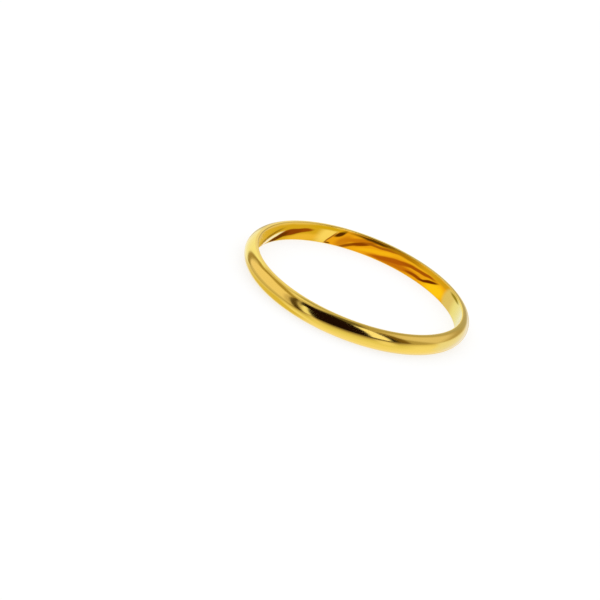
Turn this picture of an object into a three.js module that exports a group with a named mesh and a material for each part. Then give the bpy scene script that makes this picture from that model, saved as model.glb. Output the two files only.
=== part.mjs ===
// A plain finger ring: one half-round band, lying on its side face as it would on a table.
// The section is flat against the finger and domed outside, with narrow flat side faces
// between them, and it is turned once round the finger hole. The real ring is one piece.
// Millimetres, +Z up. The origin is the centre of the finger hole, on the resting plane.

import * as THREE from "three";

// Driving dimensions
const INSIDE_DIAMETER = 17.3; // the finger hole, a medium ring size
const BAND_WIDTH = 1.7; // along the finger, from side face to side face
const BAND_THICKNESS = 0.87; // from the bore to the crown of the dome
const SIDE_FACE_DEPTH = 0.28; // from the bore outwards to where the dome begins
const INNER_EDGE_RADIUS = 0.1; // where the bore meets a side face
const SHOULDER_RADIUS = 0.12; // where a side face meets the dome

// How finely the round shapes are divided
const STEPS_AROUND = 120;
const DOME_STEPS = 8; // from a shoulder to the crown
const EDGE_STEPS = 3;

// Points along an arc in the section, where x is the distance from the ring's axis
// and y the height above its middle plane. Angles are in radians from the x direction.
function arc(centreX, centreY, radius, startAngle, endAngle, steps) {
  const points = [];
  for (let i = 0; i <= steps; i++) {
    const angle = startAngle + ((endAngle - startAngle) * i) / steps;
    points.push(
      new THREE.Vector2(
        centreX + radius * Math.cos(angle),
        centreY + radius * Math.sin(angle),
      ),
    );
  }
  return points;
}

// The closed outline of the band's section, from the lower inner edge up over the dome
// to the upper inner edge and down the bore. The lower half mirrors the upper one.
function bandSection() {
  const boreRadius = INSIDE_DIAMETER / 2;
  const crownRadius = boreRadius + BAND_THICKNESS;
  const halfWidth = BAND_WIDTH / 2;

  // The dome is one arc through the crown and the outer ends of both side faces.
  const domeRise = BAND_THICKNESS - SIDE_FACE_DEPTH;
  const domeRadius = (halfWidth ** 2 + domeRise ** 2) / (2 * domeRise);
  const domeCentre = crownRadius - domeRadius;

  // A shoulder touches the side face and the dome, so its centre lies on one line
  // with the dome's centre and the point where the two arcs meet.
  const shoulderHeight = halfWidth - SHOULDER_RADIUS;
  const shoulderReach = domeRadius - SHOULDER_RADIUS;
  const meetingAngle = Math.asin(shoulderHeight / shoulderReach);
  const shoulderCentre = domeCentre + shoulderReach * Math.cos(meetingAngle);

  const dome = arc(domeCentre, 0, domeRadius, 0, meetingAngle, DOME_STEPS);
  const shoulder = arc(
    shoulderCentre,
    shoulderHeight,
    SHOULDER_RADIUS,
    meetingAngle,
    Math.PI / 2,
    EDGE_STEPS,
  );
  const innerEdge = arc(
    boreRadius + INNER_EDGE_RADIUS,
    halfWidth - INNER_EDGE_RADIUS,
    INNER_EDGE_RADIUS,
    Math.PI / 2,
    Math.PI,
    EDGE_STEPS,
  );

  const upperHalf = [...dome, ...shoulder.slice(1), ...innerEdge];
  const lowerHalf = upperHalf
    .slice(1)
    .reverse()
    .map((point) => new THREE.Vector2(point.x, -point.y));
  return [...lowerHalf, ...upperHalf, lowerHalf[0].clone()];
}

function polishedGold() {
  return new THREE.MeshStandardMaterial({
    color: 0xf9d465,
    metalness: 1,
    roughness: 0.08,
  });
}

// LatheGeometry turns about Y, so the band is tipped onto its side and lifted
// until its lower side face lies on the resting plane.
function band() {
  const mesh = new THREE.Mesh(
    new THREE.LatheGeometry(bandSection(), STEPS_AROUND),
    polishedGold(),
  );
  mesh.name = "ring_band";
  mesh.rotation.x = Math.PI / 2;
  mesh.position.z = BAND_WIDTH / 2;
  return mesh;
}

const ring = new THREE.Group();
ring.add(band());

export default ring;
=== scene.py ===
"""A plain half-round finger ring in polished yellow gold, lying on its side face.

The band is modelled as a jeweller draws it: a disc is cut to the section of the band, its
corners are rounded, and the section is spun once round the finger hole. The stage is a white
floor under a light tent, whose lamps and gaps the dome mirrors, and a glowing strip just
inside the ring, seen only by the metal, paints the reflection that the bore shows.
"""

import math
from typing import NamedTuple

import bmesh
import bpy
from bpy.props import FloatProperty, FloatVectorProperty, IntProperty, PointerProperty
from mathutils import Matrix, Vector


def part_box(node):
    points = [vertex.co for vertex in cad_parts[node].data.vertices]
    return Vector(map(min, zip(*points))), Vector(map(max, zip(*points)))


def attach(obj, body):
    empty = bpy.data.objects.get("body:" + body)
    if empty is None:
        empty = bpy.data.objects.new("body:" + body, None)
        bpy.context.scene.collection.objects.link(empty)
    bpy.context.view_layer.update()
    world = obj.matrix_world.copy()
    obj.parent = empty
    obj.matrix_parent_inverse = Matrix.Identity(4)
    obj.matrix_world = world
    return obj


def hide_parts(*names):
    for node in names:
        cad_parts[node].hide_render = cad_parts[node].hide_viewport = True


bl_info = {
    "name": "Plain Gold Finger Ring",
    "version": (1, 0, 0),
    "blender": (4, 5, 0),
    "location": "View3D > Sidebar > Gold Ring",
    "description": "Builds a half-round gold band and the light tent it is seen in",
    "category": "Object",
}

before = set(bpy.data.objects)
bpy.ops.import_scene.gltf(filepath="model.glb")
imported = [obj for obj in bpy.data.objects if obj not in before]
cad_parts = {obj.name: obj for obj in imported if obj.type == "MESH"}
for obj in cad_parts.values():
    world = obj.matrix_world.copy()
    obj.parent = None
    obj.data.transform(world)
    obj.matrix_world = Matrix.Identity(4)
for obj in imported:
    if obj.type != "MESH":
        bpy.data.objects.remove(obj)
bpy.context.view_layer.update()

MM = 0.001
CAD_NODE = "ring_band"
PICTURE_SIZE = 600  # pixels along each side of the picture
SENSOR_WIDTH = 36.0  # millimetres
CLIP_NEAR = 10 * MM
CLIP_FAR = 10  # metres

# How finely the section is divided
TOUCHING = 1e-4  # millimetres, below which two places are one
DISC_STEPS = 128
INNER_EDGE_SEGMENTS = 8
SHOULDER_SEGMENTS = 4
ROUND_PROFILE = 0.5  # the bevel tool's setting for a round edge
BORE_CUTS = 12
SIDE_FACE_CUTS = 3

# The scale of the finish, in metres
TONE_PATCH = 3.5 * MM
BUFFING_LINE = 0.18 * MM
BUFFING_RUN = 2.5 * MM
BUFFING_DEPTH = 0.00015 * MM
WAVE_SPAN = 3.0 * MM
WAVE_HEIGHT = 0.008 * MM
SCRATCH_SPAN = 2.2 * MM
SCRATCH_WIDTH = 0.05 * MM
SCRATCH_DEPTH = 0.0003 * MM

# The finish without a unit
SMOOTH_NOISE = 1.0  # detail of a noise that has no fine grain
SCRATCHED_FROM = 0.55  # share of the tone patches' noise where scratches begin
SCRATCHED_FULLY = 0.7
BUFFING_ROUGHNESS = 0.06  # what a line adds to the roughness
SCRATCH_ROUGHNESS = 0.08

# The floor, which gives off most of its own light
FLOOR_SIDES = 96
PAPER_SHARE = 0.28
PAPER_GLOW = 0.75
PAPER_ROUGHNESS = 0.9

# The tent between its cards, and its floor
TENT_SIDES = 96
TENT_CLOTH = "D8D2CC"
TENT_STRENGTH = 1.03
OPEN_FRONT = (-58, 66, 24)  # from azimuth, to azimuth, soft over, in degrees
FLOOR_DEPTH = 60  # degrees below the tent's edge, where its floor is at its brightest
FLOOR_STARTS = 2  # degrees above the tent's edge, where the cloth begins to turn into floor
FLOOR_FULL = -3  # and where all of it is floor

# The glowing strip inside the ring, which paints the reflection that the bore shows
PAINTED_REFLECTION_TONE = "ECA010"  # what the bore shows between the folds
REFLECTION_STRIP_GAP = 0.06 * MM
REFLECTION_STRIP_SIDES = 256
REFLECTION_BEND = 0.14 * MM
REFLECTION_BEND_SPAN = 1.3 * MM


def linear(hex_colour):
    """An sRGB hex colour as linear red, green and blue."""
    values = [int(hex_colour[i : i + 2], 16) / 255 for i in (0, 2, 4)]
    return tuple(v / 12.92 if v <= 0.04045 else ((v + 0.055) / 1.055) ** 2.4 for v in values)


def finger_hole_radius():
    """The distance from the ring's axis to the nearest point of the CAD band, in metres."""
    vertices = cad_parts[CAD_NODE].data.vertices
    return min(math.hypot(v.co.x, v.co.y) for v in vertices)


BAND_LOW, BAND_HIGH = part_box(CAD_NODE)
CROWN_RADIUS = BAND_HIGH.x
BAND_WIDTH = BAND_HIGH.z - BAND_LOW.z
HOLE_RADIUS = finger_hole_radius()


class BandSizes(bpy.types.PropertyGroup):
    """The sizes of the band's section and how finely it is divided."""

    hole_radius: FloatProperty(
        name="Finger hole radius",
        description="From the ring's axis to the flat inside of the band",
        default=HOLE_RADIUS,
        unit="LENGTH",
        precision=6,
    )
    crown_radius: FloatProperty(
        name="Outer radius",
        description="From the ring's axis to the crown of the dome",
        default=CROWN_RADIUS,
        unit="LENGTH",
        precision=6,
    )
    width: FloatProperty(
        name="Band width",
        description="Along the finger, from side face to side face",
        default=BAND_WIDTH,
        unit="LENGTH",
        precision=6,
    )
    side_face_depth: FloatProperty(
        name="Side face depth",
        description="From the bore outwards to where the dome begins",
        default=0.28 * MM,
        unit="LENGTH",
        precision=6,
    )
    inner_edge_radius: FloatProperty(
        name="Inner edge radius",
        description="The rounding where the bore meets a side face",
        default=0.1 * MM,
        unit="LENGTH",
        precision=6,
    )
    shoulder_radius: FloatProperty(
        name="Shoulder radius",
        description="The rounding where a side face meets the dome",
        default=0.12 * MM,
        unit="LENGTH",
        precision=6,
    )
    steps_around: IntProperty(
        name="Steps around",
        description="Number of faces once round the finger hole",
        default=512,
    )


class GoldFinish(bpy.types.PropertyGroup):
    """The colour and polish of the gold."""

    gold: FloatVectorProperty(
        name="Gold",
        description="Colour of polished 18 carat yellow gold",
        default=linear("F7D669"),
        size=3,
        subtype="COLOR",
    )
    gold_deep: FloatVectorProperty(
        name="Deeper gold",
        description="The slightly redder tone that the alloy shows in patches",
        default=linear("F4CF5C"),
        size=3,
        subtype="COLOR",
    )
    bore_gold: FloatVectorProperty(
        name="Bore gold",
        description="The slightly warmer tone of the inside",
        default=linear("F8CF5A"),
        size=3,
        subtype="COLOR",
    )
    polish: FloatProperty(
        name="Polish",
        description="Roughness of the buffed outside",
        default=0.1,
        min=0.0,
        max=1.0,
    )
    bore_polish: FloatProperty(
        name="Bore polish",
        description="Roughness of the inside",
        default=0.17,
        min=0.0,
        max=1.0,
    )


class StudioSetup(bpy.types.PropertyGroup):
    """The camera and the stage."""

    elevation: FloatProperty(
        name="Camera elevation",
        description="How far the camera looks down on the ring",
        default=math.radians(23.7),
        subtype="ANGLE",
    )
    roll: FloatProperty(
        name="Camera roll",
        description="How far the camera is turned about its own axis",
        default=math.radians(21.6),
        subtype="ANGLE",
    )
    distance: FloatProperty(
        name="Camera distance",
        description="From the camera to the middle of the ring, along the view",
        default=164.1 * MM,
        unit="LENGTH",
    )
    lens: FloatProperty(
        name="Lens",
        description="Focal length in millimetres",
        default=122.9,
    )
    ring_x: FloatProperty(
        name="Ring across",
        description="Where the middle of the ring lies, in pixels from the picture's left edge",
        default=357.4,
    )
    ring_y: FloatProperty(
        name="Ring down",
        description="Where the middle of the ring lies, in pixels from the picture's top edge",
        default=285.5,
    )
    floor_radius: FloatProperty(
        name="Floor radius",
        description="Half the width of the white floor",
        default=0.6,
        unit="LENGTH",
    )
    tent_radius: FloatProperty(
        name="Tent radius",
        description="Half the width of the light tent",
        default=1.5,
        unit="LENGTH",
    )
    tent_lean: FloatProperty(
        name="Tent lean",
        description="How far the tent leans to the left, as seen from the camera",
        default=math.radians(20),
        subtype="ANGLE",
    )
    floor_colour: FloatVectorProperty(
        name="Floor",
        description="Colour of the matt white floor",
        default=linear("FFFFFF"),
        size=3,
        subtype="COLOR",
    )


class TentCard(NamedTuple):
    """A flat upright card of the tent, which is a lamp, a wall, a post or a gap, in degrees.

    Azimuth counts from the camera's side, positive to the right, and bottom and top from the
    floor, all as the ring sees them. A card that leans has its top moved to the right.
    """

    name: str
    azimuth: float
    width: float
    bottom: float
    top: float
    lean: float
    edge: float
    colour: str
    strength: float


# Later cards stand in front of earlier ones.
TENT_CARDS = (
    TentCard("ceiling lamp", -150, 150, 75, 90, 0, 10, "F0EFF2", 1.05),
    TentCard("left frame", -98, 104, 50, 79, 0, 6, "B0A06A", 1.0),
    TentCard("back left lamp", -147, 46, -14, 52, -20, 7, "F1FCFF", 1.12),
    TentCard("foot of the back wall", 172, 42, -26, 20, -38, 6, "C4C2B4", 1.0),
    TentCard("back right wall", 160, 42, -2, 80, 0, 6, "B8B6AC", 1.0),
    TentCard("back left wall", 179.5, 20, -60, 66, 0, 5, "F4F5F2", 1.0),
    TentCard("left lamp", -90, 72, 11, 65, 0, 8, "F7EFF3", 1.0),
    TentCard("near edge of the left lamp", -56, 8, 9, 62, 0, 5, "D6CBC6", 1.0),
    TentCard("back left post", -125, 12, -3, 55, -19, 6, "AA9D78", 1.0),
    TentCard("opening", 45, 150, 0, 81, 0, 10, "281512", 0.6),
    TentCard("left of the opening", -8, 56, 40, 78, 0, 8, "281512", 0.6),
    TentCard("right of the opening", 94, 64, 58, 75, 0, 14, "6E6854", 1.0),
    TentCard("left post", -46, 11, -2, 70, 0, 5, "4E3E1A", 1.0),
    TentCard("strip lamp", -35, 8, 3, 50, 6, 4, "F0F6FF", 1.13),
    TentCard("right frame", 107, 72, -4, 61, 0, 6, "B9B09C", 1.0),
    TentCard("right lamp", 122, 42, 5, 52, -30, 16, "E6E1F0", 1.0),
    TentCard("right post", 65, 12, 1, 50, 14, 6, "76602F", 1.0),
    TentCard("front right lamp", 41, 19, 6, 61, 15, 4, "E8EAFF", 1.4),
    TentCard("front right lamp on the floor", 40, 18, -36, -6, 0, 12, "FAFAFA", 0.98),
    TentCard("strip lamp on the floor", -35, 7, -30, -2, 0, 12, "F6F0E6", 1.0),
    TentCard("gold foil on the floor", -108, 64, -54, -16, 0, 14, "E2D78A", 1.0),
    TentCard("gold foil at the back", -174, 32, -45, -11, 0, 10, "F3DF90", 1.0),
    TentCard("daylight on the floor", 133, 64, -50, -7, 0, 12, "CFD8FF", 1.45),
)

# How the tent's floor brightens from its edge down to the ring, towards the open front and
# towards the closed sides: degrees below the edge, and the colour there
FLOOR_TO_FRONT = (
    (0, "6A5C4C"),
    (5, "9C8E7A"),
    (10, "BCB39E"),
    (20, "DCDBC0"),
    (30, "EAEBCA"),
    (60, "FBFCFA"),
)
FLOOR_TO_SIDES = (
    (0, "BCB291"),
    (5, "D0C7B0"),
    (10, "E4E0D0"),
    (20, "F6F6F0"),
    (30, "FDFEFF"),
    (60, "FFFFFF"),
)


class PaintedReflectionFold(NamedTuple):
    """An oval fold or flat of the painted reflection on the glowing strip, in millimetres, with its
    turn in degrees.

    Along counts round the strip from the back, positive to the right, and height from the
    floor. Length and width reach from the oval's middle to its ends, edge is the share of
    the oval over which it fades out, and tone is what the gold that mirrors it shows.
    """

    name: str
    along: float
    height: float
    length: float
    width: float
    turn: float
    edge: float
    tone: str


# Each fold paints a patch of the reflection that the bore shows. Later folds lie over earlier ones.
PAINTED_REFLECTION_FOLDS = (
    PaintedReflectionFold("far left flat", -12.5, 0.8, 4.3, 3.0, 0, 0.3, "DAA419"),
    PaintedReflectionFold("left flat", -6.1, 2.5, 6.0, 3.3, 56, 0.04, "D6A41A"),
    PaintedReflectionFold("foot of the left flat", -6.0, 0.3, 1.8, 0.3, 8, 0.9, "EEB62E"),
    PaintedReflectionFold("lit side of the crease", -3.8, 0.9, 1.3, 0.6, 56, 1.3, "FAD45C"),
    PaintedReflectionFold("amber slope", -0.9, -1.0, 6.0, 3.0, 56, 0.04, "EDA010"),
    PaintedReflectionFold("pale top edge", -8.0, 1.9, 7.5, 0.4, 0, 0.6, "E6BE50"),
    PaintedReflectionFold("tip of the left fold", -6.6, 0.85, 1.4, 0.2, 9, 0.5, "984802"),
    PaintedReflectionFold("middle of the left fold", -7.6, 0.7, 1.3, 0.29, 8, 0.45, "8C3E04"),
    PaintedReflectionFold("foot of the left fold", -8.8, 0.35, 1.25, 0.2, 17, 0.5, "683200"),
    PaintedReflectionFold("pale blade", -9.8, 0.4, 1.5, 0.14, 17, 0.6, "FCE896"),
    PaintedReflectionFold("line above the blade", -10.0, 0.7, 1.6, 0.12, 17, 0.9, "9A700A"),
    PaintedReflectionFold("orange side of the crease", -2.3, 0.6, 0.75, 0.35, 40, 1.0, "D0800C"),
    PaintedReflectionFold("orange slope", -0.8, 1.1, 1.6, 0.2, 15, 0.9, "CC7808"),
    PaintedReflectionFold("crease", -3.5, 0.6, 0.75, 0.07, 56, 0.8, "AC640A"),
    PaintedReflectionFold("head of the crease", -2.7, 1.15, 0.6, 0.18, 34, 0.7, "542600"),
    PaintedReflectionFold("foot of the crease", -3.6, 0.1, 0.25, 0.07, 0, 0.8, "6E3804"),
    PaintedReflectionFold("foot of the long fold", -1.8, 0.4, 1.0, 0.12, 26, 0.7, "965004"),
    PaintedReflectionFold("middle of the long fold", -0.7, 0.85, 0.95, 0.16, 22, 0.7, "8A3E00"),
    PaintedReflectionFold("end of the long fold", 1.0, 1.2, 1.7, 0.11, 6, 0.8, "AA5E08"),
    PaintedReflectionFold("bright slope", 0.6, 0.7, 1.9, 0.17, 13, 0.9, "F6B412"),
    PaintedReflectionFold("bright upper slope", 4.2, 1.2, 2.2, 0.1, 3, 0.9, "F0AC16"),
    PaintedReflectionFold("brown hollow", 2.5, 0.35, 2.2, 0.25, 3, 0.9, "C87008"),
    PaintedReflectionFold("middle fold", 2.2, 0.6, 2.1, 0.2, 12, 0.7, "B25806"),
    PaintedReflectionFold("end of the middle fold", 4.8, 1.0, 1.8, 0.14, 5, 0.7, "A45004"),
    PaintedReflectionFold("bright end", 6.8, 0.4, 1.35, 0.6, 10, 1.1, "FFC612"),
    PaintedReflectionFold("foot of the short fold", 4.4, 0.4, 0.95, 0.13, 3, 0.7, "964402"),
    PaintedReflectionFold("short fold", 5.9, 0.7, 1.1, 0.13, 20, 0.7, "6A2400"),
    PaintedReflectionFold("shadow of the edge", 0.6, 1.5, 2.2, 0.14, 1, 1.1, "543204"),
    PaintedReflectionFold("dull edge of the lit side", -4.0, 1.45, 1.5, 0.17, 0, 0.9, "D2A20E"),
    PaintedReflectionFold("dull upper edge", 3.4, 1.45, 1.9, 0.18, 0, 0.9, "AE7406"),
    PaintedReflectionFold("amber upper edge", 7.2, 1.45, 2.9, 0.2, 0, 0.8, "D29A14"),
    PaintedReflectionFold("right end", 12.0, 0.6, 4.0, 2.0, 0, 0.14, "DEBE58"),
    PaintedReflectionFold("pale right end", 13.9, 0.6, 4.2, 2.4, 0, 0.25, "ECD864"),
    PaintedReflectionFold("dark spot of the edge", 9.7, 1.4, 0.9, 0.13, 0, 0.9, "967E14"),
)


def register():
    for cls in CLASSES:
        bpy.utils.register_class(cls)
    bpy.types.Scene.ring_band_sizes = PointerProperty(type=BandSizes)
    bpy.types.Scene.ring_gold_finish = PointerProperty(type=GoldFinish)
    bpy.types.Scene.ring_studio = PointerProperty(type=StudioSetup)


def unregister():
    del bpy.types.Scene.ring_studio
    del bpy.types.Scene.ring_gold_finish
    del bpy.types.Scene.ring_band_sizes
    for cls in reversed(CLASSES):
        bpy.utils.unregister_class(cls)


def add_node(tree, kind, settings=None, values=None, links=None):
    """Adds a node, sets its properties and unlinked sockets, and links sources to its inputs."""
    node = tree.nodes.new(kind)
    for name, value in (settings or {}).items():
        setattr(node, name, value)
    for socket, value in (values or {}).items():
        node.inputs[socket].default_value = value
    for socket, source in (links or {}).items():
        tree.links.new(source, node.inputs[socket])
    return node


def new_material(name):
    """An empty node material and its output node."""
    material = bpy.data.materials.new(name)
    material.use_nodes = True
    material.node_tree.nodes.clear()
    output = add_node(material.node_tree, "ShaderNodeOutputMaterial")
    return material, output


def select_places(piece, test):
    """Selects the vertices in edit mode whose place passes the test, and the edges between them."""
    mesh = bmesh.from_edit_mesh(piece.data)
    bpy.ops.mesh.select_all(action="DESELECT")
    for vertex in mesh.verts:
        vertex.select = test(vertex.co)
    mesh.select_flush_mode()
    bmesh.update_edit_mesh(piece.data)


def cut_section(sizes):
    """The band's section as a flat face beside the axis, in millimetres.

    It is drawn in millimetres because the bevel tool loses its grip below a tenth of one.
    """
    hole, crown = sizes.hole_radius / MM, sizes.crown_radius / MM
    width, half_width = sizes.width / MM, sizes.width / MM / 2
    dome_rise = crown - hole - sizes.side_face_depth / MM
    dome_radius = (half_width**2 + dome_rise**2) / (2 * dome_rise)
    dome_centre = crown - dome_radius

    bpy.ops.object.select_all(action="DESELECT")
    bpy.ops.mesh.primitive_circle_add(
        vertices=DISC_STEPS,
        radius=dome_radius,
        fill_type="NGON",
        location=(dome_centre, 0, half_width),
        rotation=(math.pi / 2, 0, 0),
    )
    piece = bpy.context.object
    bpy.ops.object.transform_apply(location=True, rotation=True, scale=True)

    # The disc keeps only what lies outside the bore and between the side faces.
    bpy.ops.object.mode_set(mode="EDIT")
    for place, normal, keep_ahead in (
        ((hole, 0, 0), (1, 0, 0), True),
        ((0, 0, 0), (0, 0, 1), True),
        ((0, 0, width), (0, 0, 1), False),
    ):
        bpy.ops.mesh.select_all(action="SELECT")
        bpy.ops.mesh.bisect(
            plane_co=place,
            plane_no=normal,
            clear_inner=keep_ahead,
            clear_outer=not keep_ahead,
            threshold=TOUCHING,
        )

    # The edges are rounded in the section, so that they are round all the way along.
    bpy.ops.mesh.select_mode(type="VERT")
    shoulder_reach = hole + sizes.side_face_depth / MM
    turn = math.acos(half_width / dome_radius)
    shoulder_offset = sizes.shoulder_radius / MM * math.tan(turn / 2)
    for reach, offset, segments in (
        (hole, sizes.inner_edge_radius / MM, INNER_EDGE_SEGMENTS),
        (shoulder_reach, shoulder_offset, SHOULDER_SEGMENTS),
    ):
        select_places(
            piece,
            lambda co, reach=reach: abs(co.x - reach) < TOUCHING
            and abs(abs(co.z - half_width) - half_width) < TOUCHING,
        )
        bpy.ops.mesh.bevel(
            offset=offset,
            segments=segments,
            profile=ROUND_PROFILE,
            affect="VERTICES",
        )

    # The flat stretches get cuts of their own, so that their shading stays flat.
    select_places(piece, lambda co: abs(co.x - hole) < TOUCHING)
    bpy.ops.mesh.subdivide(number_cuts=BORE_CUTS)
    for side in (0, width):
        select_places(piece, lambda co, side=side: abs(co.z - side) < TOUCHING)
        bpy.ops.mesh.subdivide(number_cuts=SIDE_FACE_CUTS)
    return piece


def spin_section(piece, steps):
    """Spins the section once round the axis into a closed band, and brings it to metres."""
    bpy.ops.mesh.select_all(action="SELECT")
    bpy.ops.mesh.delete(type="ONLY_FACE")
    bpy.ops.mesh.select_all(action="SELECT")
    bpy.ops.mesh.spin(steps=steps, angle=2 * math.pi, center=(0, 0, 0), axis=(0, 0, 1))
    bpy.ops.mesh.select_all(action="SELECT")
    bpy.ops.mesh.remove_doubles(threshold=TOUCHING)
    bpy.ops.mesh.normals_make_consistent(inside=False)
    bpy.ops.transform.resize(value=(MM, MM, MM), center_override=(0, 0, 0))
    bpy.ops.object.mode_set(mode="OBJECT")
    bpy.ops.object.shade_smooth()


def polished_yellow_gold(finish, sizes):
    """18 carat yellow gold, turned on a lathe and buffed outside.

    The eye sees a mirror with the metal's own warm colour, very faint buffing lines that run
    round the band, slow waves left by hand polishing, a few hairline scratches from wear, and
    an inside that is a little softer and warmer.
    """
    material, output = new_material("polished_yellow_gold")
    tree = material.node_tree
    place = add_node(tree, "ShaderNodeTexCoord").outputs["Object"]
    axes = add_node(tree, "ShaderNodeSeparateXYZ", links={"Vector": place})
    flat = add_node(
        tree,
        "ShaderNodeVectorMath",
        {"operation": "MULTIPLY"},
        {1: (1, 1, 0)},
        {0: place},
    )
    radius = add_node(
        tree,
        "ShaderNodeVectorMath",
        {"operation": "LENGTH"},
        links={0: flat.outputs["Vector"]},
    ).outputs["Value"]

    # Inside, from the bore up to the middle of the rounded inner edge
    inside = add_node(
        tree,
        "ShaderNodeMapRange",
        {"interpolation_type": "SMOOTHSTEP"},
        {
            "From Min": sizes.hole_radius,
            "From Max": sizes.hole_radius + sizes.inner_edge_radius,
            "To Min": 1.0,
            "To Max": 0.0,
        },
        {"Value": radius},
    ).outputs["Result"]

    # Tone: slow patches of a deeper gold, and the warmer bore
    patches = add_node(
        tree,
        "ShaderNodeTexNoise",
        values={"Scale": 1 / TONE_PATCH},
        links={"Vector": place},
    )
    outside_tone = add_node(
        tree,
        "ShaderNodeMix",
        {"data_type": "RGBA"},
        {"A": (*finish.gold, 1), "B": (*finish.gold_deep, 1)},
        {"Factor": patches.outputs["Fac"]},
    )
    tone = add_node(
        tree,
        "ShaderNodeMix",
        {"data_type": "RGBA"},
        {"B": (*finish.bore_gold, 1)},
        {"Factor": inside, "A": outside_tone.outputs["Result"]},
    )

    # Buffing lines: noise over the section alone, so each line runs round the band, and
    # it comes and goes along the way. Real ones are finer than the picture can show.
    section = add_node(
        tree,
        "ShaderNodeCombineXYZ",
        links={"X": radius, "Y": axes.outputs["Z"]},
    )
    lines = add_node(
        tree,
        "ShaderNodeTexNoise",
        {"noise_dimensions": "2D"},
        {"Scale": 1 / BUFFING_LINE, "Detail": SMOOTH_NOISE},
        {"Vector": section.outputs["Vector"]},
    )
    line_runs = add_node(
        tree,
        "ShaderNodeTexNoise",
        values={"Scale": 1 / BUFFING_RUN},
        links={"Vector": place},
    )
    buffing = add_node(
        tree,
        "ShaderNodeMath",
        {"operation": "MULTIPLY"},
        links={0: lines.outputs["Fac"], 1: line_runs.outputs["Fac"]},
    )

    # Hairline scratches: the thin borders of large cells, in a few places only
    cells = add_node(
        tree,
        "ShaderNodeTexVoronoi",
        {"feature": "DISTANCE_TO_EDGE"},
        {"Scale": 1 / SCRATCH_SPAN},
        {"Vector": place},
    )
    hairlines = add_node(
        tree,
        "ShaderNodeMapRange",
        values={
            "From Min": 0.0,
            "From Max": SCRATCH_WIDTH / SCRATCH_SPAN,
            "To Min": 1.0,
            "To Max": 0.0,
        },
        links={"Value": cells.outputs["Distance"]},
    )
    scratched = add_node(
        tree,
        "ShaderNodeMapRange",
        {"interpolation_type": "SMOOTHSTEP"},
        {"From Min": SCRATCHED_FROM, "From Max": SCRATCHED_FULLY},
        {"Value": patches.outputs["Fac"]},
    )
    scratches = add_node(
        tree,
        "ShaderNodeMath",
        {"operation": "MULTIPLY"},
        links={0: hairlines.outputs["Result"], 1: scratched.outputs["Result"]},
    )

    # Roughness: polish or bore polish, a little duller where the lines and scratches are
    base_roughness = add_node(
        tree,
        "ShaderNodeMapRange",
        values={"To Min": finish.polish, "To Max": finish.bore_polish},
        links={"Value": inside},
    )
    lined_roughness = add_node(
        tree,
        "ShaderNodeMath",
        {"operation": "MULTIPLY_ADD"},
        {1: BUFFING_ROUGHNESS},
        {0: buffing.outputs["Value"], 2: base_roughness.outputs["Result"]},
    )
    roughness = add_node(
        tree,
        "ShaderNodeMath",
        {"operation": "MULTIPLY_ADD"},
        {1: SCRATCH_ROUGHNESS},
        {0: scratches.outputs["Value"], 2: lined_roughness.outputs["Value"]},
    )

    # Height, in metres: slow waves of hand polishing, then lines and scratches
    waves = add_node(
        tree,
        "ShaderNodeTexNoise",
        values={"Scale": 1 / WAVE_SPAN, "Detail": SMOOTH_NOISE},
        links={"Vector": place},
    )
    wavy = add_node(
        tree,
        "ShaderNodeBump",
        values={"Distance": WAVE_HEIGHT},
        links={"Height": waves.outputs["Fac"]},
    )
    lined = add_node(
        tree,
        "ShaderNodeBump",
        values={"Distance": BUFFING_DEPTH},
        links={"Height": buffing.outputs["Value"], "Normal": wavy.outputs["Normal"]},
    )
    scratchy = add_node(
        tree,
        "ShaderNodeBump",
        {"invert": True},
        {"Distance": SCRATCH_DEPTH},
        {"Height": scratches.outputs["Value"], "Normal": lined.outputs["Normal"]},
    )

    shader = add_node(
        tree,
        "ShaderNodeBsdfPrincipled",
        values={"Metallic": 1.0},
        links={
            "Base Color": tone.outputs["Result"],
            "Roughness": roughness.outputs["Value"],
            "Normal": scratchy.outputs["Normal"],
        },
    )
    tree.links.new(shader.outputs["BSDF"], output.inputs["Surface"])
    return material


def matt_white_paper(colour):
    """Smooth white paper lit from behind, which stays white with hardly a shadow."""
    material, output = new_material("matt_white_paper")
    tree = material.node_tree
    paper = add_node(
        tree,
        "ShaderNodeBsdfPrincipled",
        values={
            "Base Color": (*(PAPER_SHARE * c for c in colour), 1),
            "Roughness": PAPER_ROUGHNESS,
            "Specular IOR Level": 0.0,
            "Emission Color": (*colour, 1),
            "Emission Strength": PAPER_GLOW,
        },
    )
    tree.links.new(paper.outputs["BSDF"], output.inputs["Surface"])
    return material


def window(tree, angle, low, high, edge):
    """A socket that is 1 between two angles in degrees, 0 outside, and soft over the edge."""
    sides = []
    for limit, inwards in ((low, 1), (high, -1)):
        side = add_node(
            tree,
            "ShaderNodeMapRange",
            {"interpolation_type": "SMOOTHSTEP"},
            {
                "From Min": math.radians(limit - inwards * edge / 2),
                "From Max": math.radians(limit + inwards * edge / 2),
            },
            {"Value": angle},
        )
        sides.append(side.outputs["Result"])
    both = add_node(
        tree,
        "ShaderNodeMath",
        {"operation": "MULTIPLY"},
        links={0: sides[0], 1: sides[1]},
    )
    return both.outputs["Value"]


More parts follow.
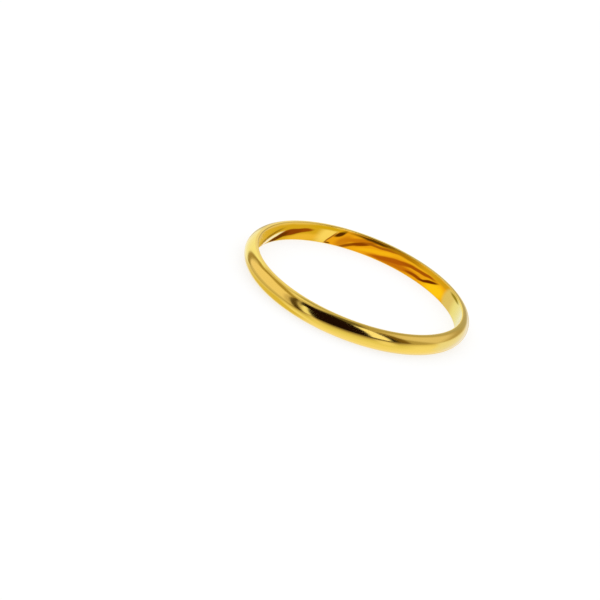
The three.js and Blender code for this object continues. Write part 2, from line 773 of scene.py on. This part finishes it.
def tent_floor(tree, place, lean):
    """The brightness of the tent's floor, and a socket that is 1 on the floor and 0 above it."""
    level = add_node(
        tree,
        "ShaderNodeMapping",
        values={"Rotation": (0, lean, 0)},
        links={"Vector": place},
    )
    ray = add_node(
        tree,
        "ShaderNodeVectorMath",
        {"operation": "NORMALIZE"},
        links={0: level.outputs["Vector"]},
    )
    axes = add_node(tree, "ShaderNodeSeparateXYZ", links={"Vector": ray.outputs["Vector"]})
    rise = add_node(tree, "ShaderNodeMath", {"operation": "ARCSINE"}, links={0: axes.outputs["Z"]})
    towards_camera = add_node(
        tree,
        "ShaderNodeMath",
        {"operation": "MULTIPLY"},
        {1: -1.0},
        {0: axes.outputs["Y"]},
    )
    azimuth = add_node(
        tree,
        "ShaderNodeMath",
        {"operation": "ARCTAN2"},
        links={0: axes.outputs["X"], 1: towards_camera.outputs["Value"]},
    )
    depth = add_node(
        tree,
        "ShaderNodeMapRange",
        values={"From Min": 0.0, "From Max": -math.radians(FLOOR_DEPTH)},
        links={"Value": rise.outputs["Value"]},
    )
    ways = []
    for stops in (FLOOR_TO_SIDES, FLOOR_TO_FRONT):
        ramp = add_node(tree, "ShaderNodeValToRGB", links={"Fac": depth.outputs["Result"]})
        elements = ramp.color_ramp.elements
        elements.remove(elements[1])
        for place_below, colour in stops:
            position = place_below / FLOOR_DEPTH
            element = elements.new(position) if position else elements[0]
            element.position = position
            element.color = (*linear(colour), 1)
        ways.append(ramp.outputs["Color"])
    front = window(tree, azimuth.outputs["Value"], *OPEN_FRONT)
    floor = add_node(
        tree,
        "ShaderNodeMix",
        {"data_type": "RGBA"},
        links={"Factor": front, "A": ways[0], "B": ways[1]},
    )
    below = add_node(
        tree,
        "ShaderNodeMapRange",
        {"interpolation_type": "SMOOTHSTEP"},
        {"From Min": math.radians(FLOOR_STARTS), "From Max": math.radians(FLOOR_FULL)},
        {"Value": rise.outputs["Value"]},
    )
    return floor.outputs["Result"], below.outputs["Result"]


def card_cover(tree, place, card, lean):
    """A socket that is 1 where a card stands, seen from the middle of the tent."""
    turn = Matrix.Rotation(-lean, 3, "Y")
    turn = turn @ Matrix.Rotation(math.radians(card.azimuth + 180), 3, "Z")
    turn = turn @ Matrix.Rotation(-math.radians(card.lean), 3, "Y")
    facing = add_node(
        tree,
        "ShaderNodeMapping",
        {"vector_type": "TEXTURE"},
        {"Rotation": turn.to_euler()},
        {"Vector": place},
    )
    axes = add_node(tree, "ShaderNodeSeparateXYZ", links={"Vector": facing.outputs["Vector"]})
    covers = []
    for axis, low, high in (
        ("X", -card.width / 2, card.width / 2),
        ("Z", card.bottom, card.top),
    ):
        angle = add_node(
            tree,
            "ShaderNodeMath",
            {"operation": "ARCTAN2"},
            links={0: axes.outputs[axis], 1: axes.outputs["Y"]},
        )
        covers.append(window(tree, angle.outputs["Value"], low, high, card.edge))
    both = add_node(
        tree,
        "ShaderNodeMath",
        {"operation": "MULTIPLY"},
        links={0: covers[0], 1: covers[1]},
    )
    return both.outputs["Value"]


def tent_light(lean):
    """What the ring mirrors: a white cloth tent with lamps behind it and an open front."""
    material, output = new_material("lit_tent_cloth")
    tree = material.node_tree
    place = add_node(tree, "ShaderNodeTexCoord").outputs["Object"]
    floor, below = tent_floor(tree, place, lean)
    colour = add_node(
        tree,
        "ShaderNodeMix",
        {"data_type": "RGBA"},
        {"A": (*linear(TENT_CLOTH), 1)},
        {"Factor": below, "B": floor},
    ).outputs["Result"]
    for card in TENT_CARDS:
        shade = tuple(card.strength * c for c in linear(card.colour))
        colour = add_node(
            tree,
            "ShaderNodeMix",
            {"data_type": "RGBA", "label": card.name},
            {"B": (*shade, 1)},
            {"Factor": card_cover(tree, place, card, lean), "A": colour},
        ).outputs["Result"]
    glow = add_node(
        tree,
        "ShaderNodeEmission",
        values={"Strength": TENT_STRENGTH},
        links={"Color": colour},
    )
    tree.links.new(glow.outputs["Emission"], output.inputs["Surface"])
    return material


def reflection_strip_place(tree, radius):
    """Where a point of the glowing strip lies once the strip is rolled out flat.

    The front half mirrors the back half, and a slow noise bends all the folds of the painted
    reflection.
    """
    place = add_node(tree, "ShaderNodeTexCoord").outputs["Object"]
    axes = add_node(tree, "ShaderNodeSeparateXYZ", links={"Vector": place})
    backwards = add_node(
        tree,
        "ShaderNodeMath",
        {"operation": "ABSOLUTE"},
        links={0: axes.outputs["Y"]},
    )
    angle = add_node(
        tree,
        "ShaderNodeMath",
        {"operation": "ARCTAN2"},
        links={0: axes.outputs["X"], 1: backwards.outputs["Value"]},
    )
    along = add_node(
        tree,
        "ShaderNodeMath",
        {"operation": "MULTIPLY"},
        {1: radius},
        {0: angle.outputs["Value"]},
    )
    flat = add_node(
        tree,
        "ShaderNodeCombineXYZ",
        links={"X": along.outputs["Value"], "Y": axes.outputs["Z"]},
    )
    bends = add_node(
        tree,
        "ShaderNodeTexNoise",
        {"noise_dimensions": "2D"},
        {"Scale": 1 / REFLECTION_BEND_SPAN, "Detail": SMOOTH_NOISE},
        {"Vector": flat.outputs["Vector"]},
    )
    bent = add_node(
        tree,
        "ShaderNodeVectorMath",
        {"operation": "MULTIPLY_ADD"},
        {1: (REFLECTION_BEND, REFLECTION_BEND, 0)},
        {0: bends.outputs["Color"], 2: flat.outputs["Vector"]},
    )
    return bent.outputs["Vector"]


def painted_reflection_glow(tone, bore_gold):
    """How bright the strip must glow, so that the gold which mirrors it shows the tone of the
    painted reflection.
    """
    return tuple(shown / mirrored for shown, mirrored in zip(linear(tone), bore_gold))


def painted_reflection_strip(radius, bore_gold):
    """A painted reflection for the inside of the ring: a glowing strip with warm flats and brown
    folds, which the bore mirrors.
    """
    material, output = new_material("painted_bore_reflection")
    tree = material.node_tree
    place = reflection_strip_place(tree, radius)
    # Between the folds the strip glows with the amber of the bore's painted reflection.
    colour = add_node(tree, "ShaderNodeRGB").outputs["Color"]
    colour.default_value = (*painted_reflection_glow(PAINTED_REFLECTION_TONE, bore_gold), 1)
    middle_bend = REFLECTION_BEND / 2
    # Each fold paints one patch of the reflection that the bore shows.
    for fold in PAINTED_REFLECTION_FOLDS:
        spot = add_node(
            tree,
            "ShaderNodeMapping",
            {"vector_type": "TEXTURE"},
            {
                "Location": (fold.along * MM + middle_bend, fold.height * MM + middle_bend, 0),
                "Rotation": (0, 0, math.radians(fold.turn)),
                "Scale": (fold.length * MM, fold.width * MM, 1),
            },
            {"Vector": place},
        )
        reach = add_node(
            tree,
            "ShaderNodeVectorMath",
            {"operation": "LENGTH"},
            links={0: spot.outputs["Vector"]},
        )
        cover = add_node(
            tree,
            "ShaderNodeMapRange",
            {"interpolation_type": "SMOOTHSTEP"},
            {"From Min": 1 + fold.edge / 2, "From Max": 1 - fold.edge / 2},
            {"Value": reach.outputs["Value"]},
        )
        colour = add_node(
            tree,
            "ShaderNodeMix",
            {"data_type": "RGBA", "label": fold.name},
            {"B": (*painted_reflection_glow(fold.tone, bore_gold), 1)},
            {"Factor": cover.outputs["Result"], "A": colour},
        ).outputs["Result"]
    glow = add_node(tree, "ShaderNodeEmission", links={"Color": colour})
    tree.links.new(glow.outputs["Emission"], output.inputs["Surface"])
    return material


class RINGMAKER_OT_band(bpy.types.Operator):
    """Builds the gold band over the CAD solid"""

    bl_idname = "ringmaker.band"
    bl_label = "Build Gold Band"
    bl_options = {"REGISTER", "UNDO"}

    def execute(self, context):
        sizes = context.scene.ring_band_sizes
        piece = cut_section(sizes)
        spin_section(piece, sizes.steps_around)
        piece.name = piece.data.name = "gold_band"
        piece.data.materials.append(polished_yellow_gold(context.scene.ring_gold_finish, sizes))
        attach(piece, "root")
        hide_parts(CAD_NODE)
        return {"FINISHED"}


class RINGMAKER_OT_stage(bpy.types.Operator):
    """Sets the white floor, the light tent and the camera"""

    bl_idname = "ringmaker.stage"
    bl_label = "Set Stage"
    bl_options = {"REGISTER", "UNDO"}

    def execute(self, context):
        studio = context.scene.ring_studio
        ring_middle = Vector((0, 0, context.scene.ring_band_sizes.width / 2))
        self.lay_floor(studio)
        self.pitch_tent(studio, ring_middle)
        # A glowing strip just inside the ring paints the reflection that the bore shows.
        self.stand_reflection_strip(context.scene.ring_band_sizes, context.scene.ring_gold_finish)
        self.light_room(context.scene)
        self.place_camera(context.scene, studio, ring_middle)
        return {"FINISHED"}

    def lay_floor(self, studio):
        bpy.ops.object.select_all(action="DESELECT")
        bpy.ops.mesh.primitive_circle_add(
            vertices=FLOOR_SIDES,
            radius=studio.floor_radius,
            fill_type="NGON",
            location=(0, 0, 0),
        )
        floor = bpy.context.object
        floor.name = "white_floor"
        floor.data.materials.append(matt_white_paper(studio.floor_colour))
        # The tent's own floor is what the metal mirrors.
        floor.visible_glossy = False

    def pitch_tent(self, studio, ring_middle):
        bpy.ops.object.select_all(action="DESELECT")
        bpy.ops.mesh.primitive_uv_sphere_add(
            segments=TENT_SIDES,
            ring_count=TENT_SIDES // 2,
            radius=studio.tent_radius,
            location=ring_middle,
        )
        tent = bpy.context.object
        tent.name = "light_tent"
        tent.data.materials.append(tent_light(studio.tent_lean))
        self.show_to_metal_alone(tent)

    def stand_reflection_strip(self, sizes, finish):
        """A glowing strip stood up just inside the ring, seen only by the metal, which paints the
        bore's reflection.
        """
        radius = sizes.hole_radius - REFLECTION_STRIP_GAP
        bpy.ops.object.select_all(action="DESELECT")
        bpy.ops.mesh.primitive_cylinder_add(
            vertices=REFLECTION_STRIP_SIDES,
            radius=radius,
            depth=sizes.width,
            end_fill_type="NOTHING",
            location=(0, 0, sizes.width / 2),
        )
        reflection_strip = bpy.context.object
        bpy.ops.object.transform_apply(location=True)
        reflection_strip.name = "painted_reflection_strip"
        # Its glow is a painted reflection for the bore, not a lamp.
        reflection_strip.data.materials.append(painted_reflection_strip(radius, finish.bore_gold))
        self.show_to_metal_alone(reflection_strip)

    def show_to_metal_alone(self, piece):
        """Only polished metal sees the piece, so no view of the ring is blocked by it."""
        piece.visible_camera = False
        piece.visible_diffuse = False
        piece.visible_transmission = False
        piece.visible_volume_scatter = False
        piece.visible_shadow = False

    def light_room(self, scene):
        """Even white light all round, for the floor and for what lies behind it."""
        room = bpy.data.worlds.new("white_room")
        room.use_nodes = True
        room.node_tree.nodes["Background"].inputs["Color"].default_value = (1, 1, 1, 1)
        room.cycles_visibility.glossy = False
        scene.world = room
        scene.view_settings.view_transform = "Standard"

    def place_camera(self, scene, studio, ring_middle):
        turn = Matrix.Rotation(math.pi / 2 - studio.elevation, 3, "X")
        turn = turn @ Matrix.Rotation(studio.roll, 3, "Z")
        right, up, back = turn.col
        focal_pixels = studio.lens / SENSOR_WIDTH * PICTURE_SIZE
        across = (studio.ring_x - PICTURE_SIZE / 2) / focal_pixels * studio.distance
        down = (studio.ring_y - PICTURE_SIZE / 2) / focal_pixels * studio.distance
        bpy.ops.object.camera_add(
            location=ring_middle + back * studio.distance - right * across + up * down,
            rotation=turn.to_euler(),
        )
        camera = bpy.context.object
        camera.data.lens = studio.lens
        camera.data.sensor_width = SENSOR_WIDTH
        camera.data.clip_start = CLIP_NEAR
        camera.data.clip_end = CLIP_FAR
        scene.camera = camera


class RINGMAKER_PT_sidebar(bpy.types.Panel):
    """The ring's sizes, finish and stage in the sidebar"""

    bl_idname = "RINGMAKER_PT_sidebar"
    bl_label = "Gold Ring"
    bl_space_type = "VIEW_3D"
    bl_region_type = "UI"
    bl_category = "Gold Ring"

    def draw(self, context):
        scene = context.scene
        for heading, group, operator in (
            ("Band", scene.ring_band_sizes, RINGMAKER_OT_band.bl_idname),
            ("Finish", scene.ring_gold_finish, None),
            ("Stage", scene.ring_studio, RINGMAKER_OT_stage.bl_idname),
        ):
            box = self.layout.box()
            box.label(text=heading)
            for name in group.__annotations__:
                box.prop(group, name)
            if operator:
                box.operator(operator)


CLASSES = (
    BandSizes,
    GoldFinish,
    StudioSetup,
    RINGMAKER_OT_band,
    RINGMAKER_OT_stage,
    RINGMAKER_PT_sidebar,
)


def main():
    register()
    bpy.ops.ringmaker.band()
    bpy.ops.ringmaker.stage()


if __name__ == "__main__":
    main()
